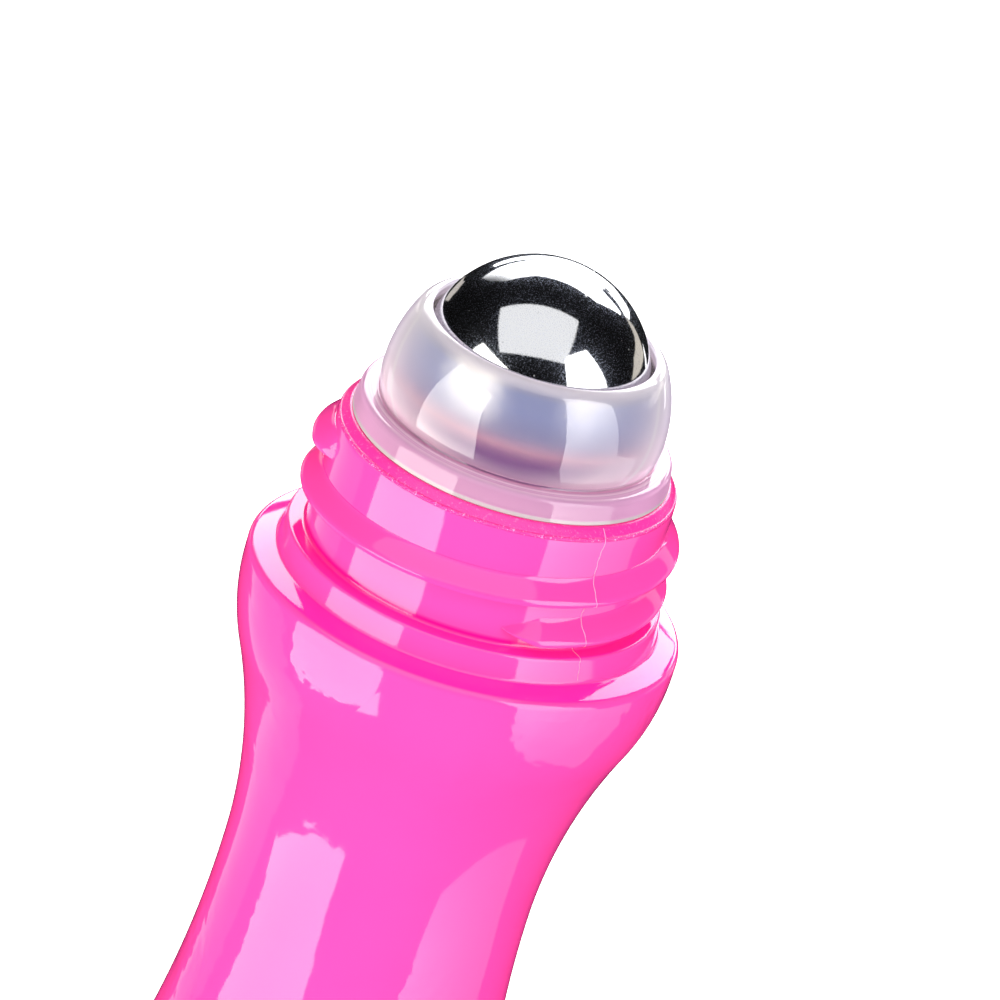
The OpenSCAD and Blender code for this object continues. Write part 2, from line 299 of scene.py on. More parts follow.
class Graph:
    """The node tree of a material or of the world."""

    def __init__(self, owner):
        owner.use_nodes = True
        self.tree = owner.node_tree
        self.tree.nodes.clear()

    def node(self, kind, settings=None, inputs=None, output=0):
        """Adds a node, sets or wires its inputs and gives one of its outputs."""
        made = self.tree.nodes.new(kind)
        for name, value in (settings or {}).items():
            setattr(made, name, value)
        for name, value in (inputs or {}).items():
            if isinstance(value, Wire):
                self.tree.links.new(value.socket, made.inputs[name])
            else:
                made.inputs[name].default_value = value
        return Wire(self, made.outputs[output])

    def place(self):
        return self.node("ShaderNodeTexCoord", output="Object")

    def vector(self, operation, *values, output="Value"):
        return self.node("ShaderNodeVectorMath", {"operation": operation}, dict(enumerate(values)), output)

    def axis(self, name, vector=None):
        """One part of a vector, or of the place in the object."""
        return self.node("ShaderNodeSeparateXYZ", inputs={"Vector": vector or self.place()}, output=name)

    def noise(self, scale, detail=2.0, roughness=0.5):
        return self.node("ShaderNodeTexNoise", inputs={
            "Vector": self.place(), "Scale": scale, "Detail": detail, "Roughness": roughness})

    def bump(self, height, depth, normal=None):
        """A normal that follows a height, on top of another normal if there is one."""
        inputs = {"Height": height, "Distance": depth}
        if normal:
            inputs["Normal"] = normal
        return self.node("ShaderNodeBump", inputs=inputs)

    def ramp(self, place, stops):
        """The colour at a place between stops, each a place and its colour."""
        made = self.node("ShaderNodeValToRGB", inputs={"Fac": place})
        tones = made.socket.node.color_ramp.elements
        for stop, tone in stops:
            tones.new(stop).color = (*tone, 1)
        tones.remove(tones[0])
        tones.remove(tones[-1])
        return made

    def mix_colour(self, factor, first, second):
        return self.node("ShaderNodeMix", {"data_type": "RGBA"}, {0: factor, 6: first, 7: second}, output=2)

    def mix_shader(self, factor, first, second):
        return self.node("ShaderNodeMixShader", inputs={0: factor, 1: first, 2: second})

    def surface(self, shader):
        """Puts a shader on the material, or on the world."""
        kind = "World" if isinstance(self.tree.id_data, bpy.types.World) else "Material"
        self.tree.links.new(shader.socket, self.tree.nodes.new("ShaderNodeOutput" + kind).inputs["Surface"])


def new_graph(name):
    material = bpy.data.materials.new(name)
    return material, Graph(material)


def rising(wire, start, width):
    """0 up to a start, and from there up to 1 over a width."""
    return ((wire - start) / width).clamped()


def falling(wire, end, width):
    """1 down to 0 over a width before an end, and 0 beyond it."""
    return ((end - wire) / width).clamped()


def band(wire, low, high, edge):
    """1 between two levels and 0 outside them, with soft edges."""
    return rising(wire, low, edge) * falling(wire, high, edge)


def peaks(noise, floor, gain):
    """What of a noise is above a floor, made stronger."""
    return ((noise - floor) * gain).clamped()


# ---------------------------------------------------------------- materials

# A lighter pink for the rim's nicks, a painted glint on them.
NICK_GLINT_COLOUR = (1.0, 0.30, 0.66, 1)


def pink_plastic():
    """Glossy moulded plastic with the slight waves of a blown wall and a matte, nicked rim, with painted shade that
    makes it deeper in its grooves and on its upward-facing ledges, and its nicks lightened as painted glints.
    """
    material = bpy.data.materials.get("pink_plastic")
    if material:
        return material
    body, neck = bpy.context.scene.rollon_body, bpy.context.scene.rollon_neck
    material, g = new_graph("pink_plastic")
    red, green, blue = body.tint

    def tinted(of_red, of_green, of_blue):
        """The plastic's colour with each of its parts scaled."""
        return red * of_red, green * of_green, blue * of_blue, 1

    # where a point lies: on the rim's bevel or its ragged lower corner, on the body, on an upward-facing ledge or in
    # the step's groove, the last two for painted shade
    below_rim = body.height + neck.height - g.axis("Z")
    bevel_foot, soft = neck.bevel_height + 0.12 * MM, 0.08 * MM
    bevel = band(below_rim, -0.1 * MM, bevel_foot, soft)
    corner = band(below_rim, neck.bevel_height - 0.20 * MM, bevel_foot, soft)
    ragged = corner * 0.75 + bevel * 0.25
    on_body = rising(below_rim - neck.height, neck.step_height, 2 * MM)
    upward = g.axis("Z", g.node("ShaderNodeNewGeometry", output="Normal"))
    ledge = rising(upward, 0.80, 0.15) * rising(below_rim, 4 * MM, MM)
    groove_shade = band(g.axis("Z"), body.height - 0.02 * MM, body.height + 0.7 * MM, 0.3 * MM)

    # the blown wall's waves, the body's rough spots and the rim's grain
    rough_spots = peaks(g.noise(70, 1.0), 0.48, 6) * on_body
    waves = g.bump(g.noise(75, 1.0) * 0.12 + g.noise(320, 2.0) * rough_spots * 0.20, MM)
    grain = g.bump(g.noise(4200, 2.0, 0.8) * ragged, 0.16 * MM, waves)

    tint = g.mix_colour(g.noise(90, 3.0), tinted(1, 0.9, 0.97), tinted(1, 1.1, 1.03))
    # painted shade: upward-facing ledges, lit less from above, are darker
    tint = g.mix_colour(ledge, tint, tinted(0.95, 0.4, 1.15))
    # painted shade in the groove at the foot of the neck
    tint = g.mix_colour(groove_shade, tint, tinted(0.80, 0.1, 0.75))
    tint = g.mix_colour(bevel, tint, tinted(1, 0.6, 0.9))
    # the nicks on the rim's ragged corner, lightened as painted glints
    tint = g.mix_colour(peaks(g.noise(3600, 2.0, 0.7), 0.58, 11) * ragged, tint, NICK_GLINT_COLOUR)
    g.surface(g.node("ShaderNodeBsdfPrincipled", inputs={
        "Base Color": tint,
        "Roughness": 0.05 + g.noise(900, 2.0) * 0.03 + bevel * 0.08,
        "Normal": grain,
        "IOR": 1.5,
    }))
    return material


def parting_flash_painted_highlight():
    """The thin ragged film of pink plastic along the mould's parting line, which catches the light, lightened in colour
    as a painted highlight.
    """
    material, g = new_graph("parting_flash_painted_highlight")
    red, green, blue = bpy.context.scene.rollon_body.tint
    g.surface(g.node("ShaderNodeBsdfPrincipled", inputs={
        # a lighter pink than the body, as a painted highlight
        "Base Color": g.mix_colour(g.noise(1500, 2.0), (red, green * 2, blue * 1.2, 1), (1, green * 6, blue * 1.8, 1)),
        "Roughness": 0.3,
        "Normal": g.bump(g.noise(2600, 2.0), 0.08 * MM),
        "IOR": 1.5,
    }))
    return material


# The milky plastic's colours, with painted light and shade in them: up the dome from the flange to the lip, where the
# wall is seen straight on and where it is seen edge-on, and across the flange's top from the dome to its edge. Straight
# on, a bluish milk has painted shade low on the dome where the dark cup shows through, painted pink light from the neck
# below and above that shade, and painted light on the rim; edge-on, its light pinks are painted light from behind and
# from the pink neck.
DOME_FRONT_TINT_AND_PAINTED_LIGHT = (
    (0.005, (0.66, 0.26, 0.47)), (0.03, (0.30, 0.15, 0.40)), (0.24, (0.28, 0.14, 0.37)), (0.30, (0.46, 0.24, 0.45)),
    (0.36, (0.66, 0.36, 0.54)), (0.42, (0.49, 0.36, 0.61)), (0.50, (0.44, 0.43, 0.76)), (0.70, (0.48, 0.53, 0.96)),
    (0.86, (0.49, 0.55, 0.97)), (0.94, (0.70, 0.66, 0.82)), (0.985, (0.84, 0.78, 0.87)))
DOME_SIDE_TINT_AND_PAINTED_LIGHT = (
    (0.01, (0.90, 0.52, 0.71)), (0.12, (0.97, 0.71, 0.86)), (0.32, (0.96, 0.78, 0.92)), (0.55, (0.86, 0.75, 0.90)),
    (0.80, (0.84, 0.76, 0.88)), (0.95, (0.92, 0.86, 0.93)))
FLANGE_RINGS_AND_HIGHLIGHTS = (
    (0.02, (0.85, 0.32, 0.58)), (0.10, (0.60, 0.30, 0.50)), (0.20, (0.90, 0.54, 0.75)), (0.32, (0.98, 0.72, 0.86)),
    (0.40, (0.72, 0.36, 0.60)), (0.50, (0.88, 0.50, 0.74)), (0.58, (0.70, 0.34, 0.58)), (0.70, (0.95, 0.60, 0.80)),
    (0.84, (0.76, 0.38, 0.64)), (0.97, (0.90, 0.46, 0.74)))
# More of them: the flange's foot; painted shade in the cup and painted pink light along its edge; a painted highlight
# line and painted shade along the dome's outline; a painted glow for the light that the wall carries round to its lip,
# where the ball shades it; and the clear share of the wall.
FOOT_COLOUR = (0.60, 0.52, 0.55, 1)
CUP_SHADE = (0.24, 0.06, 0.23, 1)
CUP_EDGE_LIGHT = (0.90, 0.46, 0.68, 1)
OUTLINE_HIGHLIGHT = (0.97, 0.93, 0.98, 1)
OUTLINE_SHADE = (0.40, 0.33, 0.46, 1)
PAINTED_LIP_GLOW = (0.34, 0.27, 0.36, 1)
CLEAR_COLOUR = (0.81, 0.77, 0.69, 1)
RINGS_START, RINGS_WIDTH = 11.0 * MM, 1.44 * MM
TRANSLUCENT_SHARE = 0.3
MOST_SHINE = 0.22


def milky_plastic():
    """Translucent milky plastic: a hazy wall under a smooth skin, milkier where it is seen edge-on, with painted light
    and shade in its colours.
    """
    scene = bpy.context.scene
    values, body, neck = scene.rollon_housing, scene.rollon_body, scene.rollon_neck
    material, g = new_graph("milky_plastic")

    # where a point lies: up the dome, at its foot or its top, on the flange or the flange's foot
    height = g.axis("Z") - (body.height + neck.height)
    lip_level = BALL_CENTRE.z + values.lip_rise
    over_flange = height - values.flange_height
    dome_height = lip_level - body.height - neck.height - values.flange_height
    level = over_flange / dome_height + (g.noise(220, 2.0) - 0.5) * 0.02
    low = 1 - rising(level, 0.15, 0.30)
    top = rising(level, 0.90, 0.08)
    flange = 1 - rising(over_flange, 0.02 * MM, 0.12 * MM)
    foot_line = band(height, -0.05 * MM, 0.42 * MM, 0.06 * MM)
    # on the socket's side: near its lip, on the lip's round, in the cup or on the cup's edge
    from_ball = g.vector("DISTANCE", g.place(), BALL_CENTRE)
    near_lip = rising(g.axis("Z"), lip_level - 1.5 * MM, 0.6 * MM)
    lip = falling(from_ball, values.socket_radius + 0.5 * MM, 0.2 * MM) * near_lip
    socket = falling(from_ball, values.socket_radius + 0.2 * MM, 0.1 * MM)
    over_cup = g.axis("Z") - (BALL_CENTRE.z - values.cup_line)
    cup = 1 - rising(over_cup, 0, 0.1 * MM)
    cup_edge = band(over_cup, -0.1 * MM, 1.0 * MM, 0.25 * MM)
    # and how it is seen: from outside the plastic, and from straight on (0) to edge-on (1)
    outside = 1 - g.node("ShaderNodeNewGeometry", output="Backfacing")
    edge = g.node("ShaderNodeLayerWeight", inputs={"Blend": 0.5}, output="Facing")

    # the milk's colour, straight on and edge-on, with its painted light and shade
    from_axis = g.vector("LENGTH", g.vector("MULTIPLY", g.place(), (1, 1, 0), output="Vector"))
    # the flange top's fine concentric lines, lightened in places as painted highlights, brightest on its edge's round
    rings_and_highlights = g.ramp((from_axis - RINGS_START) / RINGS_WIDTH, FLANGE_RINGS_AND_HIGHLIGHTS)
    wall_top = rising(over_flange, -0.45 * MM, 0.3 * MM)
    # the flange's colour: the neck's pink light painted on its wall, its rings on top, its foot line below
    flange_tone = g.mix_colour(foot_line, g.mix_colour(wall_top, (*values.cast, 1), rings_and_highlights), FOOT_COLOUR)
    # painted shade in the cup, with a painted line of pink light along its edge
    cup_shade_and_light = g.mix_colour(cup_edge, CUP_SHADE, CUP_EDGE_LIGHT)
    in_cup = socket * (cup + cup_edge).clamped()
    front, side = (
        g.mix_colour(in_cup, g.mix_colour(flange, g.ramp(level, stops), flange_tone), cup_shade_and_light)
        for stops in (DOME_FRONT_TINT_AND_PAINTED_LIGHT, DOME_SIDE_TINT_AND_PAINTED_LIGHT))
    # a painted highlight line just inside the dome's outline, and painted shade at the outline itself
    side = g.mix_colour(band(edge, 0.56, 0.62, 0.02) * (1 - flange) * 0.5, side, OUTLINE_HIGHLIGHT)
    side = g.mix_colour(rising(edge, 0.74, 0.12) * (1 - flange) * 0.6, side, OUTLINE_SHADE)
    # painted glow: emission near the lip that stands in for light the wall carries round to it
    painted_lip_glow = g.mix_colour(lip, (0, 0, 0, 1), PAINTED_LIP_GLOW)

    def matte(tone):
        return g.node("ShaderNodeBsdfPrincipled", inputs={
            "Base Color": tone, "Roughness": 1.0, "Specular IOR Level": 0.0,
            "Emission Color": painted_lip_glow, "Emission Strength": 1.0})

    high_edge = rising(edge, 0.15, 0.45)
    low_edge = rising(edge, 0.12, 0.20)
    milk = g.mix_shader(high_edge + (low_edge - high_edge) * low, matte(front), matte(side))
    glow = g.node("ShaderNodeBsdfTranslucent", inputs={"Color": (*values.glow, 1)})
    milk = g.mix_shader(TRANSLUCENT_SHARE, milk, glow)

    # the milk's share, and the clear rest, which is hazy but doesn't bend a ray at the socket
    outer_milk = (values.milk + low * 0.08 + flange * 0.3 + top * 0.25 + edge * edge * 0.9) * outside + foot_line * 0.7
    socket_milk = outside * (near_lip * 0.65 + 0.25) + cup * 0.85 + cup_edge * 0.45
    share_of_milk = (outer_milk + (socket_milk - outer_milk) * socket).clamped()
    skin = g.bump(g.noise(420, 1.5), 0.008 * MM)
    clear = g.node("ShaderNodeBsdfRefraction", inputs={
        "Color": CLEAR_COLOUR, "Roughness": values.haze, "IOR": 1.45, "Normal": skin})
    clear = g.mix_shader(socket, clear, g.node("ShaderNodeBsdfTransparent"))
    wall = g.mix_shader(share_of_milk, clear, milk)

    # the smooth skin's gloss, held down where the wall is seen edge-on
    gloss = g.node("ShaderNodeBsdfGlossy", inputs={"Color": (1, 1, 1, 1), "Roughness": 0.03, "Normal": skin})
    fresnel = g.node("ShaderNodeFresnel", inputs={"IOR": 1.49, "Normal": skin})
    shine = fresnel * outside * (1.4 - flange * 0.4)
    g.surface(g.mix_shader(shine.math("MINIMUM", shine, MOST_SHINE), wall, gloss))
    return material


# The steel's grain: its height, its roughness, and the most and the least share that it has.
GRAIN_HEIGHT = 0.0012 * MM
GRAIN_ROUGHNESS = 0.30
GRAIN_MOST, GRAIN_LEAST = 0.36, 0.015


def polished_steel():
    """Polished steel with a very fine rough grain that glitters round each highlight, and a few specks of dust."""
    values = bpy.context.scene.rollon_ball
    material, g = new_graph("polished_steel")
    grain = g.noise(10500, 2.0, 0.7)
    speck = g.node("ShaderNodeTexVoronoi", inputs={"Vector": g.place(), "Scale": 1400.0}, output="Distance")
    dust = falling(speck, 0.16, 0.06) * peaks(g.noise(700), 0.55, 8)

    def metal(tint, roughness):
        return g.node("ShaderNodeBsdfPrincipled", inputs={
            "Base Color": (*tint, 1), "Metallic": 1.0, "Roughness": roughness, "Normal": g.bump(grain, GRAIN_HEIGHT)})

    g.surface(g.mix_shader(
        peaks(grain, 0.52, 8) * GRAIN_MOST + GRAIN_LEAST,
        metal(values.tint, values.polish + dust * 0.5), metal(values.grain_tint, GRAIN_ROUGHNESS)))
    return material


def straight_path(g):
    """1 for a camera ray, also one that has only passed through clear walls, and 0 after any reflection."""
    bounces = (g.node("ShaderNodeLightPath", output="Glossy Depth")
               + g.node("ShaderNodeLightPath", output="Diffuse Depth"))
    return (1 - bounces).clamped()


# ---------------------------------------------------------------- studio

def direction(azimuth, elevation):
    """Unit vector; azimuth 0 is towards the camera, 90 to its right."""
    a, e = math.radians(azimuth), math.radians(elevation)
    return Vector((math.cos(e) * math.sin(a), -math.cos(e) * math.cos(a), math.sin(e)))


# Each light card: its name, the directions of its corners seen from the ball, its share of the studio's reach, its
# share of the softboxes' strength, where it fades (from a direction, to a direction, what is left there), its tone.
EVEN = ((0, 0), (90, 0), 1.0)
WHITE = (1.0, 1.0, 1.0)
CARDS = (
    ("left_softbox", ((-26, 17), (-64, 22), (-88, -38), (-27, -46), (-25.5, -25), (-28, 2)), 1.0, 1.0,
     ((-24, -25), (-83, -28), 0.85), (1.0, 0.99, 0.91)),
    ("right_softbox", ((33, 42), (66, 45), (74, 30), (80, 15), (84, 0), (87, -14), (113, -20), (114, -44), (76, -47),
                       (53, -42), (43, -25)), 1.0, 0.9, ((48, 0), (112, -42), 0.12), WHITE),
    ("top_softbox", ((-92, 47.5), (93, 67), (33, 36), (-42, 26)), 0.9, 0.217, EVEN, WHITE),
    ("back_wall", ((-135, 36), (-138, 40), (-147, 43), (-159, 46), (-175, 50), (170, 51), (159, 50), (145, 45),
                   (143, 36), (144, 22), (147, 21), (153, 25), (160, 26), (163, 17), (180, 16), (-160, 15), (-144, 14),
                   (-136, 26)), 1.2, 1.0, ((-153, 30), (-135, 28), 0.03), WHITE),
    ("back_gap", ((161, 19), (155, 17), (150, 16.5), (147, 15.5), (149, 13), (158, 15)), 1.2, 0.8, EVEN, WHITE),
    ("back_strip", ((148, 12), (153, 8), (159, 3), (165, 1), (170, -3), (180, -3), (-172, 0), (-160, 3), (-157, 8),
                    (180, 14.5), (157, 15)), 1.2, 1.0, EVEN, WHITE),
    ("left_low_panel", ((-135, -20), (-97, -20), (-97, -42), (-90, -54), (-122, -58), (-135, -43)), 1.0, 0.17,
     ((-134, -40), (-97, -40), 0.45), WHITE),
    ("right_panel", ((147, 16), (144, 14), (141, 10), (135, 9), (125, 9), (115, 1), (129, -2), (139, -3), (145, -3),
                     (148, 7)), 1.0, 0.15, EVEN, (1.0, 0.92, 0.80)),
    ("right_edge_panel", ((150, -3), (147, -4), (143, -12), (145, -12), (149, -8)), 1.0, 0.5, EVEN, WHITE),
    ("left_panel", ((-141, -4), (-145, -1), (-151, -2), (-167, -14), (-161, -11), (-150, -10)), 1.0, 0.13, EVEN,
     (1.0, 0.92, 0.84)),
)
FLOOR_RADIUS = 6.0
PAPER_COLOUR = (0.8, 0.8, 0.8, 1)
PAPER_GLOW = 0.86
WORLD_LEAST = 0.004
SENSOR_WIDTH = 36
CLIP_START, CLIP_END = 0.01, 50


def light_card(name, corners, reach, strength, fade, tone):
    """A flat card of light whose corners lie in the given directions from the ball."""
    ways = [direction(*corner) for corner in corners]
    facing = sum(ways, Vector()).normalized()

    def on_card(way):
        return BALL_CENTRE + way * (reach / way.dot(facing))

    bm = bmesh.new()
    bmesh.ops.create_circle(bm, cap_ends=True, radius=1, segments=len(ways))
    for vert, way in zip(bm.verts, ways):
        vert.co = on_card(way)
    material, g = new_graph(name)
    start, end, left_over = fade
    if left_over < 1:
        start = on_card(direction(*start))
        side = on_card(direction(*end)) - start
        from_start = g.vector("SUBTRACT", g.place(), start, output="Vector")
        rest = 1 - g.vector("DOT_PRODUCT", from_start, side / side.length_squared).clamped()
        strength = (rest * rest * (1 - left_over) + left_over) * strength
    g.surface(g.node("ShaderNodeEmission", inputs={"Color": (*tone, 1), "Strength": strength}))
    card = new_object(name, bm, material)
    card.visible_camera = card.visible_shadow = False


class ROLLON_OT_stage(bpy.types.Operator):
    """Builds the pale floor, the light cards, the world and the camera"""
    bl_idname = "rollon.stage"
    bl_label = "Studio"

    def execute(self, context):
        scene, values = context.scene, context.scene.rollon_studio
        bm = bmesh.new()
        bmesh.ops.create_circle(bm, cap_ends=True, radius=FLOOR_RADIUS, segments=64)
        material, g = new_graph("floor")
        paper = g.node("ShaderNodeAddShader", inputs={
            0: g.node("ShaderNodeBsdfDiffuse", inputs={"Color": PAPER_COLOUR}),
            1: g.node("ShaderNodeEmission", inputs={"Strength": PAPER_GLOW})})
        g.surface(g.mix_shader(straight_path(g), g.node("ShaderNodeBsdfTransparent"), paper))
        floor = new_object("floor", bm, material)
        floor.visible_glossy = floor.visible_diffuse = floor.visible_shadow = False
        for name, corners, reach, part, fade, tone in CARDS:
            light_card(name, corners, values.reach * reach, values.softbox * part, fade, tone)

        world = bpy.data.worlds.new("studio")
        w = Graph(world)
        upward = w.axis("Z", w.node("ShaderNodeTexCoord"))
        from_below = w.node("ShaderNodeLightPath", output="Diffuse Depth").clamped() * (1 - upward)
        light = straight_path(w) * (1 - WORLD_LEAST) + WORLD_LEAST + from_below * values.ambient
        w.surface(w.node("ShaderNodeBackground", inputs={"Color": (1, 1, 1, 1), "Strength": light}))
        world.cycles.sampling_method = "NONE"
        scene.world = world
        scene.view_settings.view_transform = "Standard"

        camera = bpy.data.objects.new("camera", bpy.data.cameras.new("camera"))
        camera.data.lens, camera.data.sensor_width = values.lens, SENSOR_WIDTH
        camera.data.clip_start, camera.data.clip_end = CLIP_START, CLIP_END
        turn = (Matrix.Rotation(-values.camera_yaw, 4, "Z") @ Matrix.Rotation(math.pi / 2 - values.camera_pitch, 4, "X")
                @ Matrix.Rotation(values.camera_roll, 4, "Z"))
        camera.matrix_world = Matrix.Translation((0, -values.camera_back, values.camera_height)) @ turn
        scene.collection.objects.link(camera)
        scene.camera = camera
        return {"FINISHED"}


# ---------------------------------------------------------------- the pieces

# How far below the rim the plug's sealing beads and the neck's snap grooves lie, and the outline of each in
# millimetres from the wall and from its level.
BEAD_LEVELS = (2.6 * MM, 5.0 * MM)
GROOVE = ((0, 0.62), (0.24, 0.24), (0.24, -0.24), (0, -0.62))
BEAD = ((0, -0.6), (0.25, -0.2), (0.25, 0.2), (0, 0.6))
LEAST_HEEL = 0.5 * MM
EDGE_ROUND = 0.12 * MM


class ROLLON_OT_bottle(bpy.types.Operator):
    """Turns the blown bottle: base, waisted body, shoulder, cap step and neck, with its wall"""
    bl_idname = "rollon.bottle"
    bl_label = "Bottle"

    def execute(self, context):
        v, n = context.scene.rollon_body, context.scene.rollon_neck
        step_foot = v.height - n.step_height
        ledge = step_foot - v.shoulder_fall
        wide = ledge - v.shoulder_edge - v.shoulder_band
        waist = v.height - v.waist_drop
        rim = v.height + n.height
        foot_turn, foot_bulge, foot_hollow = blend_of(waist - v.foot_rise, v.foot_radius - v.waist_radius, v.foot_share)
        top_turn, top_bulge, top_hollow = blend_of(wide - waist, v.shoulder_radius - v.waist_radius, v.shoulder_share)

        def heel_of(inset, floor):
            """Radius of the heel, its centre's radius and the angle where it meets the foot's bulge."""
            heel = max(v.heel_round - inset, LEAST_HEEL)
            reach = foot_bulge - inset - heel
            turn = math.asin((v.foot_rise - floor - heel) / reach)
            return heel, v.foot_radius - foot_bulge + reach * math.cos(turn), math.degrees(turn)

        heel, heel_r, heel_turn = heel_of(0, 0)
        stand = heel_r - v.stand_width
        hollow = arc_radius(stand, v.push_up)

        # the outside, from the middle of the base up to the rim and into the bore
        t = Turning(0, v.push_up)
        t.arc(0, v.push_up - hollow, -turn_of(stand, hollow), 12)
        t.line(heel_r, 0)
        t.arc(heel_r, heel, 90 - heel_turn, 10)
        t.arc(v.foot_radius - foot_bulge, v.foot_rise, heel_turn + foot_turn, 26)
        t.arc(v.waist_radius + foot_hollow, waist, -foot_turn, 22)
        t.arc(v.waist_radius + top_hollow, waist, -top_turn, 22)
        t.arc(v.shoulder_radius - top_bulge, wide, top_turn, 16)
        t.line(v.shoulder_radius, ledge - v.shoulder_edge)
        t.arc(v.shoulder_radius - v.shoulder_edge, ledge - v.shoulder_edge, 80, 8)
        t.line(n.step_foot_radius + n.step_fillet, step_foot)
        t.arc(n.step_foot_radius + n.step_fillet, step_foot + n.step_fillet, -90, 6)
        t.line(n.step_radius, v.height - n.step_edge)
        t.arc(n.step_radius - n.step_edge, v.height - n.step_edge, 90, 6)
        t.line(n.radius + n.foot_fillet, v.height)
        t.arc(n.radius + n.foot_fillet, v.height + n.foot_fillet, -90, 6)
        t.line(n.rim_radius, rim - n.bevel_height, 8)
        t.line(n.land_radius, rim, 3)
        t.line(n.bore_radius + n.mouth_bevel, rim)
        t.line(n.bore_radius, rim - n.mouth_bevel)

        # the inside, from the bore's snap grooves down to the middle of the base
        for level in BEAD_LEVELS:
            for r, z in GROOVE:
                t.line(n.bore_radius + r * MM, rim - level + z * MM)
        ceiling = ledge - v.wall
        t.line(n.bore_radius, ceiling)
        t.line(v.shoulder_radius - v.wall, ceiling)
        t.line(v.shoulder_radius - v.wall, wide)
        heel, heel_r, heel_turn = heel_of(v.wall, v.base_wall)
        t.arc(v.shoulder_radius - top_bulge, wide, -top_turn, 12)
        t.arc(v.waist_radius + top_hollow, waist, top_turn, 12)
        t.arc(v.waist_radius + foot_hollow, waist, foot_turn, 12)
        t.arc(v.foot_radius - foot_bulge, v.foot_rise, -foot_turn - heel_turn, 12)
        t.arc(heel_r, v.base_wall + heel, heel_turn - 90, 5)
        inner = min(stand, heel_r)
        hollow = arc_radius(inner, v.push_up)
        t.line(inner, v.base_wall)
        t.arc(0, v.base_wall + v.push_up - hollow, turn_of(inner, hollow), 8)
        bm = t.turn()

        # round the two corners of the rim's bevel
        corners = [e for e in bm.edges if all(
            min(abs(p.co.z - rim), abs(p.co.z - rim + n.bevel_height)) < WELD
            and p.co.xy.length > n.land_radius - WELD for p in e.verts)
            and e.calc_face_angle(0) > SHARP_ANGLE]
        bmesh.ops.bevel(bm, geom=corners, offset=EDGE_ROUND, offset_type="OFFSET", affect="EDGES",
                        segments=3, profile=0.5, material=-1)
        tidy(bm)
        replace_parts(add_piece("bottle_shell", bm, pink_plastic(), "bottle"), "bottle")
        return {"FINISHED"}


# The thread's section: height above the neck as a share of the ridge's, and millimetres from the crest's level.
# Its root is sunk in the neck. Its pointed start keeps a share of its breadth and lies a little higher.
THREAD_ROOT = -0.22
THREAD_SECTION = (
    (THREAD_ROOT, -1.25), (0.0, -1.12), (0.11, -0.98), (0.40, -0.89), (0.72, -0.80), (0.90, -0.69), (0.98, -0.52),
    (1.0, -0.36), (0.965, -0.22), (0.85, -0.05), (0.62, 0.26), (0.38, 0.60), (0.16, 0.92), (0.05, 1.10),
    (0.0, 1.24), (THREAD_ROOT, 1.34),
)
THREAD_STEP = math.radians(1.5)
START_BREADTH, START_LIFT = 0.08, 0.15 * MM
LEAST_RIDGE = 0.02


class ROLLON_OT_thread(bpy.types.Operator):
    """Winds the cap's thread round the neck, pointed at its start and rounded off at its end"""
    bl_idname = "rollon.thread"
    bl_label = "Thread"

    def execute(self, context):
        v, n, body = context.scene.rollon_thread, context.scene.rollon_neck, context.scene.rollon_body
        steps = round(v.sweep / THREAD_STEP)
        whole = steps * THREAD_STEP
        corners = [(n.radius + h * v.ridge_height, body.height + v.start_rise + z * MM) for h, z in THREAD_SECTION]
        root_r = corners[0][0]
        t = Turning(*corners[0])
        for corner in corners[1:]:
            t.line(*corner)
        bm = t.sweep(v.start_angle, whole, steps, v.pitch * whole / math.tau)
        for i, vert in enumerate(bm.verts):
            turn = i // len(corners) * THREAD_STEP
            crest = body.height + v.start_rise + v.pitch * turn / math.tau
            start = min(1.0, turn / v.run_in)
            end = min(1.0, (whole - turn) / v.run_out)
            rise = (1 - (1 - start) ** 2) ** 0.5 * 0.6 + 0.4 * start
            rise = max(rise * math.sin(end * math.pi / 2) ** 0.6, LEAST_RIDGE)
            narrow = START_BREADTH + (1 - START_BREADTH) * start
            r = vert.co.xy.length
            scale = (root_r + (r - root_r) * rise) / r
            vert.co.x *= scale
            vert.co.y *= scale
            vert.co.z = crest + START_LIFT * (1 - narrow) + (vert.co.z - crest) * narrow
        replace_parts(add_piece("bottle_thread", bm, pink_plastic(), "bottle"), "bottle")
        return {"FINISHED"}


# The parting line's waves: millimetres, turn from step to step and turn at its top. Its steps down the neck, the
# widest gap that it leaves, and how far a place between two others may lie above or below them.
WAVES = ((0.03, 0.83, 0), (0.05, 0.27, 0), (0.06, 0.071, 2))
LINE_STEP, LINE_GAP, LINE_SLACK = 0.12 * MM, 0.25 * MM, 0.1 * MM
# The flash's section, a triangle that closes on itself: half widths, and whether it stands out or is sunk in.
FLASH_SECTION = ((-1, False), (0, True), (1, False), (-1, False))
FLASH_SUNK = -0.03 * MM


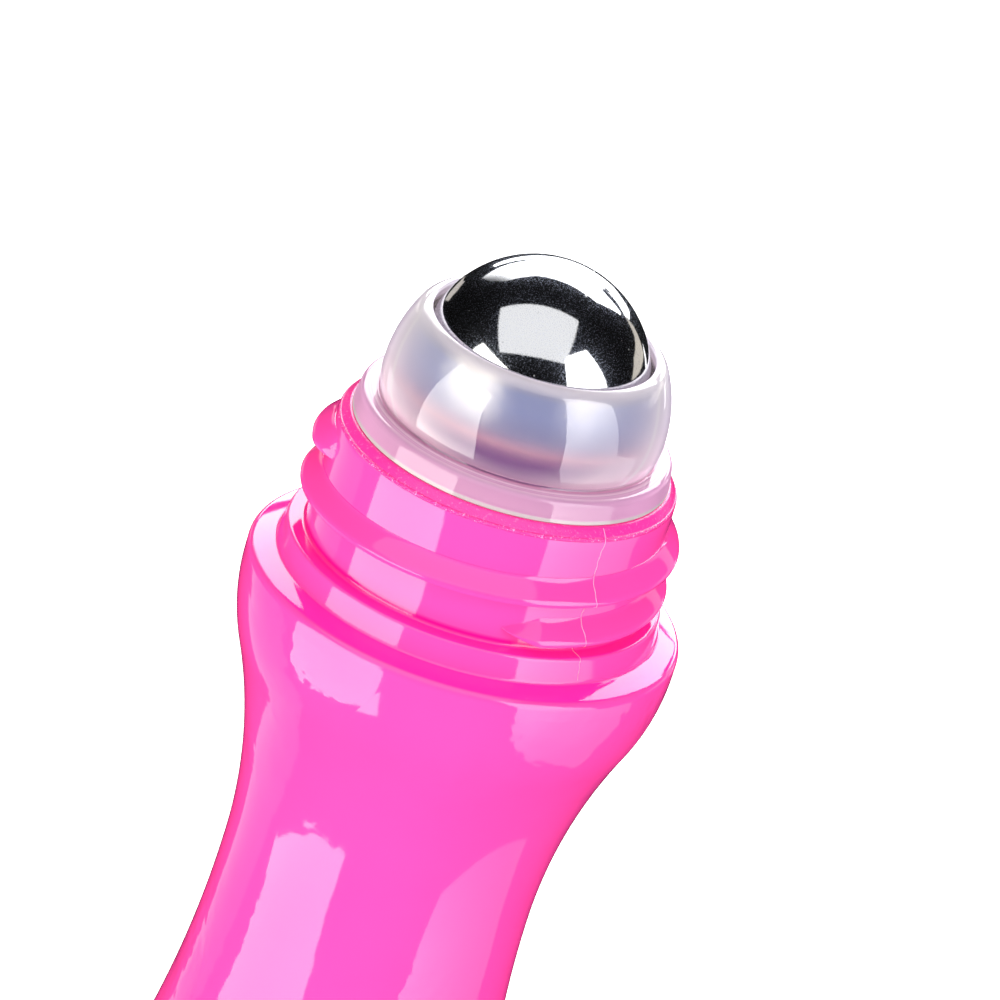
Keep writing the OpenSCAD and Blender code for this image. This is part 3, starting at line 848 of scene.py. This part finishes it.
class ROLLON_OT_parting_line(bpy.types.Operator):
    """Lays the mould's fine parting line up both sides of the neck, over its thread and the step"""
    bl_idname = "rollon.parting_line"
    bl_label = "Parting line"

    def execute(self, context):
        v, n, body = context.scene.rollon_thread, context.scene.rollon_neck, context.scene.rollon_body
        surfaces = []
        for name in ("bottle_shell", "bottle_thread"):
            skin = bmesh.new()
            skin.from_mesh(bpy.data.objects[name].data)
            surfaces.append(BVHTree.FromBMesh(skin))
            skin.free()

        def touch(start, way):
            """The place and normal where a ray first meets the bottle, or None."""
            hits = [hit for hit in (surface.ray_cast(start, way) for surface in surfaces) if hit[0]]
            return min(hits, key=lambda hit: hit[3])[:2] if hits else None

        top = body.height + n.height - 0.1 * MM
        low = body.height - n.step_height + 0.2 * MM
        away = 30 * MM
        down = Vector((0, 0, -1))
        bm = bmesh.new()
        for side in (v.line_angle, v.line_angle + math.pi):
            path = []
            for i in range(int((top - low) / LINE_STEP)):
                wander = sum(size * math.sin(i * rate + start) for size, rate, start in WAVES) * MM / n.radius
                out = Matrix.Rotation(side + wander, 3, "Z") @ Vector((1, 0, 0))
                here = (out, *touch(out * away + Vector((0, 0, top - i * LINE_STEP)), -out))
                if path:
                    # on a ledge, where the level rays land far apart, rays from above fill in
                    last = path[-1][1]
                    gaps = int((here[1] - last).length / LINE_GAP) + 1
                    for k in range(1, gaps):
                        spot = last.lerp(here[1], k / gaps)
                        hit = touch(Vector((spot.x, spot.y, last.z + 0.3 * MM)), down)
                        if hit and here[1].z - LINE_SLACK < hit[0].z < last.z + LINE_SLACK:
                            path.append((out, *hit))
                path.append(here)
            corners = len(FLASH_SECTION)
            grid = bmesh.ops.create_grid(bm, x_segments=corners - 1, y_segments=len(path) - 1, size=1)["verts"]
            grid.sort(key=lambda vert: (vert.co.y, vert.co.x))
            for i, vert in enumerate(grid):
                out, place, normal = path[i // corners]
                across, stands_out = FLASH_SECTION[i % corners]
                rise = v.line_height if stands_out else FLASH_SUNK
                vert.co = place + down.cross(out) * (across * v.line_width / 2) + normal * rise
        bmesh.ops.remove_doubles(bm, verts=bm.verts, dist=WELD)
        bmesh.ops.holes_fill(bm, edges=bm.edges, sides=3)
        tidy(bm)
        add_piece("parting_line", bm, parting_flash_painted_highlight(), "bottle")
        return {"FINISHED"}


# The plug's lead-in, the fillet at the dome's foot with its share of the dome's tuck, the share that the dome's own
# arc takes, and how deep the seat pads are rooted in the cup.
LEAD_WIDTH, LEAD_HEIGHT = 0.5 * MM, 0.9 * MM
DOME_FILLET = 0.22 * MM
PAD_ROOT = 0.6 * MM
FILLET_TUCK, DOME_TUCK = 0.6, 0.8


class ROLLON_OT_housing(bpy.types.Operator):
    """Turns the ball housing: dome, retaining rim, flange, plug with sealing beads, cup and seat pads"""
    bl_idname = "rollon.housing"
    bl_label = "Ball housing"

    def execute(self, context):
        v, n, body = context.scene.rollon_housing, context.scene.rollon_neck, context.scene.rollon_body
        rim = body.height + n.height
        ball = BALL_CENTRE.z
        flange = rim + v.flange_height
        dome = ball - v.dome_drop
        lip = ball + v.lip_rise
        plug = rim - v.plug_length
        tuck_r = arc_radius(dome - flange, v.dome_tuck)
        tuck_turn = turn_of(dome - flange, tuck_r)
        dome_turn = tuck_turn * DOME_TUCK
        rim_turn = turn_of(lip - v.rim_round - dome, v.dome_radius - v.rim_round)
        rim_r = (v.dome_radius - v.rim_round) * math.cos(math.radians(rim_turn))
        top_r = v.flange_radius - v.flange_draft
        # the lip's inner edge is rounded where the rim's round meets the socket's sphere
        rim_centre = Vector((rim_r, lip - v.rim_round - ball))
        reach = v.socket_radius + v.lip_round
        along = (rim_centre.length_squared + reach ** 2 - (v.rim_round - v.lip_round) ** 2) / (2 * rim_centre.length)
        aside = math.sqrt(reach ** 2 - along ** 2)
        out = rim_centre.normalized()
        lip_centre = out * along + Vector((-out.y, out.x)) * aside
        lip_turn = math.degrees(math.atan2(lip_centre.y, lip_centre.x))
        from_rim = lip_centre - rim_centre
        round_turn = math.degrees(math.atan2(from_rim.y, from_rim.x))
        feed_turn = math.degrees(math.acos(v.feed_radius / v.socket_radius))
        pocket = flange - (v.cup_radius - v.socket_radius)
        pocket_turn = turn_of(ball - pocket, v.cup_radius)
        cup_turn = math.degrees(math.acos(v.feed_radius / v.cup_radius))

        # the plug and the flange
        t = Turning(v.skirt_radius, plug)
        t.line(v.plug_radius - LEAD_WIDTH, plug)
        t.line(v.plug_radius, plug + LEAD_HEIGHT)
        for level in reversed(BEAD_LEVELS):
            for r, z in BEAD:
                t.line(v.plug_radius + r * MM, rim - level + z * MM)
        t.line(v.plug_radius, rim)
        t.line(v.flange_radius - EDGE_ROUND, rim)
        t.line(v.flange_radius, rim + EDGE_ROUND)
        t.line(top_r, flange - v.flange_edge, 2)
        t.arc(top_r - v.flange_edge, flange - v.flange_edge, 90, 8)
        # the dome and its lip
        foot_r = v.dome_radius - v.dome_tuck + DOME_FILLET
        t.line(foot_r, flange)
        t.arc(foot_r, flange + DOME_FILLET, -90 - tuck_turn * FILLET_TUCK, 5)
        t.line(v.dome_radius - tuck_r + tuck_r * math.cos(math.radians(dome_turn)),
               dome - tuck_r * math.sin(math.radians(dome_turn)))
        t.arc(v.dome_radius - tuck_r, dome, dome_turn, 10)
        t.arc(0, dome, rim_turn, 26)
        t.arc(rim_r, lip - v.rim_round, round_turn - rim_turn, 10)
        t.arc(lip_centre.x, ball + lip_centre.y, 180 + lip_turn - round_turn, 8)
        # the socket down to the feed hole, and back up the outside of the cup
        t.arc(0, ball, -lip_turn - feed_turn, 44)
        t.line(v.feed_radius, ball - math.sqrt(v.cup_radius ** 2 - v.feed_radius ** 2))
        t.arc(0, ball, cup_turn - pocket_turn, 14)
        t.line(v.skirt_radius, pocket)
        bm = t.turn(closed=True)
        shell = add_piece("housing_shell", bm, milky_plastic(), "bottle")
        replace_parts(shell, "ball_housing")

        inner, outer = BALL_RADIUS + v.pad_gap, v.socket_radius + PAD_ROOT
        gap = math.asin(v.channel / 2 / (inner * math.sin(v.pad_low)))
        pads = bmesh.new()
        for i in range(v.pads):
            t = Turning(inner * math.sin(v.pad_low), ball - inner * math.cos(v.pad_low))
            t.arc(0, ball, math.degrees(v.pad_high - v.pad_low), 4)
            t.line(outer * math.sin(v.pad_high), ball - outer * math.cos(v.pad_high))
            t.line(outer * math.sin(v.pad_low), ball - outer * math.cos(v.pad_low))
            one = t.sweep(math.tau * i / v.pads + gap, math.tau / v.pads - 2 * gap, 16)
            mesh = bpy.data.meshes.new("pad")
            one.to_mesh(mesh)
            one.free()
            pads.from_mesh(mesh)
            bpy.data.meshes.remove(mesh)
        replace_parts(add_piece("seat_pads", pads, shell.data.materials[0], "bottle"), "ball_housing")
        return {"FINISHED"}


class ROLLON_OT_ball(bpy.types.Operator):
    """Makes the polished steel ball"""
    bl_idname = "rollon.ball"
    bl_label = "Steel ball"

    def execute(self, context):
        bm = bmesh.new()
        bmesh.ops.create_icosphere(bm, subdivisions=7, radius=BALL_RADIUS, matrix=Matrix.Translation(BALL_CENTRE))
        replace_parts(add_piece("steel_ball", bm, polished_steel(), "ball"), "ball")
        return {"FINISHED"}


class ROLLON_PT_panel(bpy.types.Panel):
    """Lists the builders of the roll-on bottle"""
    bl_idname = "ROLLON_PT_panel"
    bl_label = "Roll-on bottle"
    bl_space_type = "VIEW_3D"
    bl_region_type = "UI"
    bl_category = "Roll-on bottle"

    def draw(self, context):
        for builder in BUILDERS:
            self.layout.operator(builder.bl_idname)
        for name, group in GROUPS.items():
            box = self.layout.box()
            for prop in group.__annotations__:
                box.prop(getattr(context.scene, name), prop)


GROUPS = {
    "rollon_body": BodyValues, "rollon_neck": NeckValues, "rollon_thread": ThreadValues,
    "rollon_housing": HousingValues, "rollon_ball": BallValues, "rollon_studio": StudioValues,
}
BUILDERS = (
    ROLLON_OT_stage, ROLLON_OT_bottle, ROLLON_OT_thread, ROLLON_OT_parting_line, ROLLON_OT_housing, ROLLON_OT_ball,
)
CLASSES = (*GROUPS.values(), *BUILDERS, ROLLON_PT_panel)


def register():
    for cls in CLASSES:
        bpy.utils.register_class(cls)
    for name, group in GROUPS.items():
        setattr(bpy.types.Scene, name, PointerProperty(type=group))


def unregister():
    for name in GROUPS:
        delattr(bpy.types.Scene, name)
    for cls in reversed(CLASSES):
        bpy.utils.unregister_class(cls)


def main():
    register()
    for builder in BUILDERS:
        space, name = builder.bl_idname.split(".")
        getattr(getattr(bpy.ops, space), name)()


if __name__ == "__main__":
    main()
